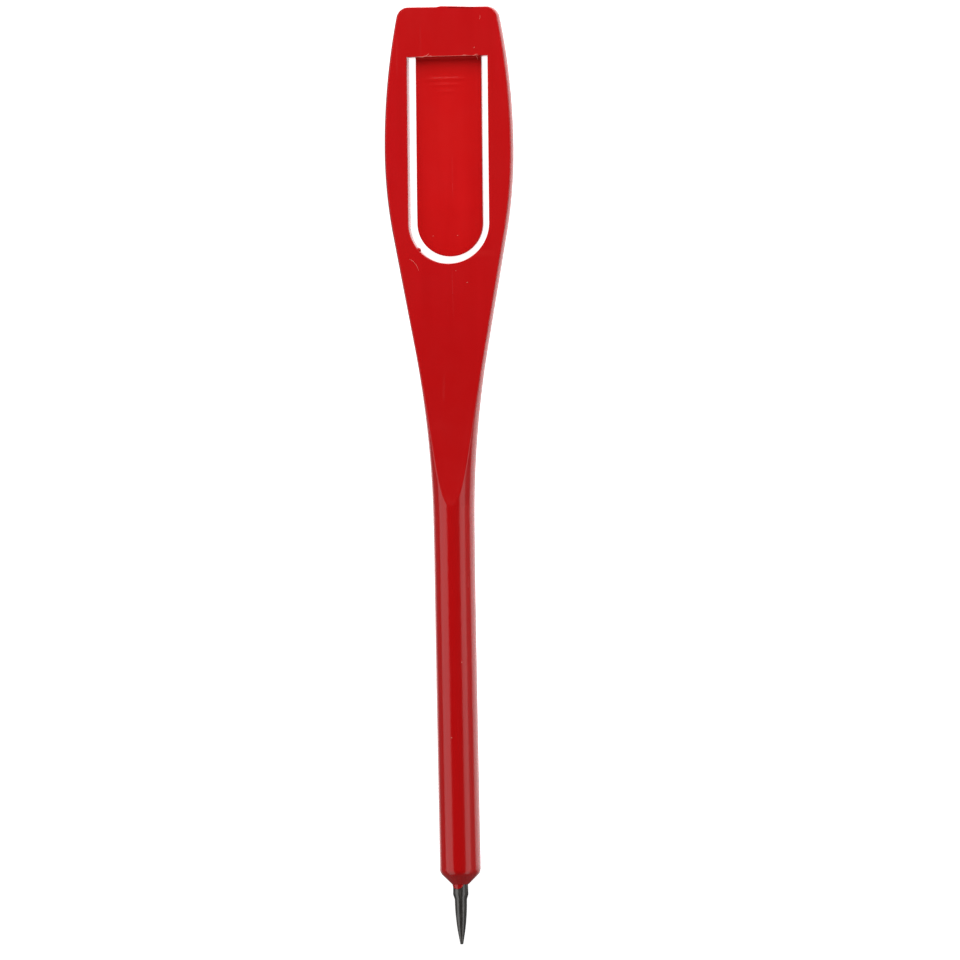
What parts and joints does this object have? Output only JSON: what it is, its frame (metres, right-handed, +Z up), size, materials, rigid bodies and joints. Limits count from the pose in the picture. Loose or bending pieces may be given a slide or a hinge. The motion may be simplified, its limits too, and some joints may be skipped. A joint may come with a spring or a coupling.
{
  "type": "clip-on marking pencil",
  "caption": "Slim one-piece plastic marking pencil with a pressed-in lead and a flat paddle head that has a springy clip tongue cut out of it.",
  "frame": {"origin": "under the middle of the pencil's length, on the lowest line of the barrel as it lies on its back", "axes": "+Y from the lead's point to the top of the head, +X across the head, +Z up through the front of the head"},
  "size_m": [0.0132, 0.095, 0.0042],
  "materials": {
    "red_moulding": "gloss",
    "red_tongue": "gloss",
    "lead": "satin"
  },
  "bodies": {
    "holder": {"holder": "red_moulding", "lead": "lead"},
    "clip": {"clip_tongue": "red_tongue"}
  },
  "joints": [
    {"name": "clip_flex", "type": "hinge", "parent": "holder", "child": "clip", "pos_m": [0, 0.0424, 0.00161], "axis": [1, 0, 0], "range_deg": [-8, 8], "stiffness_Nm_per_rad": 0.11}
  ]
}
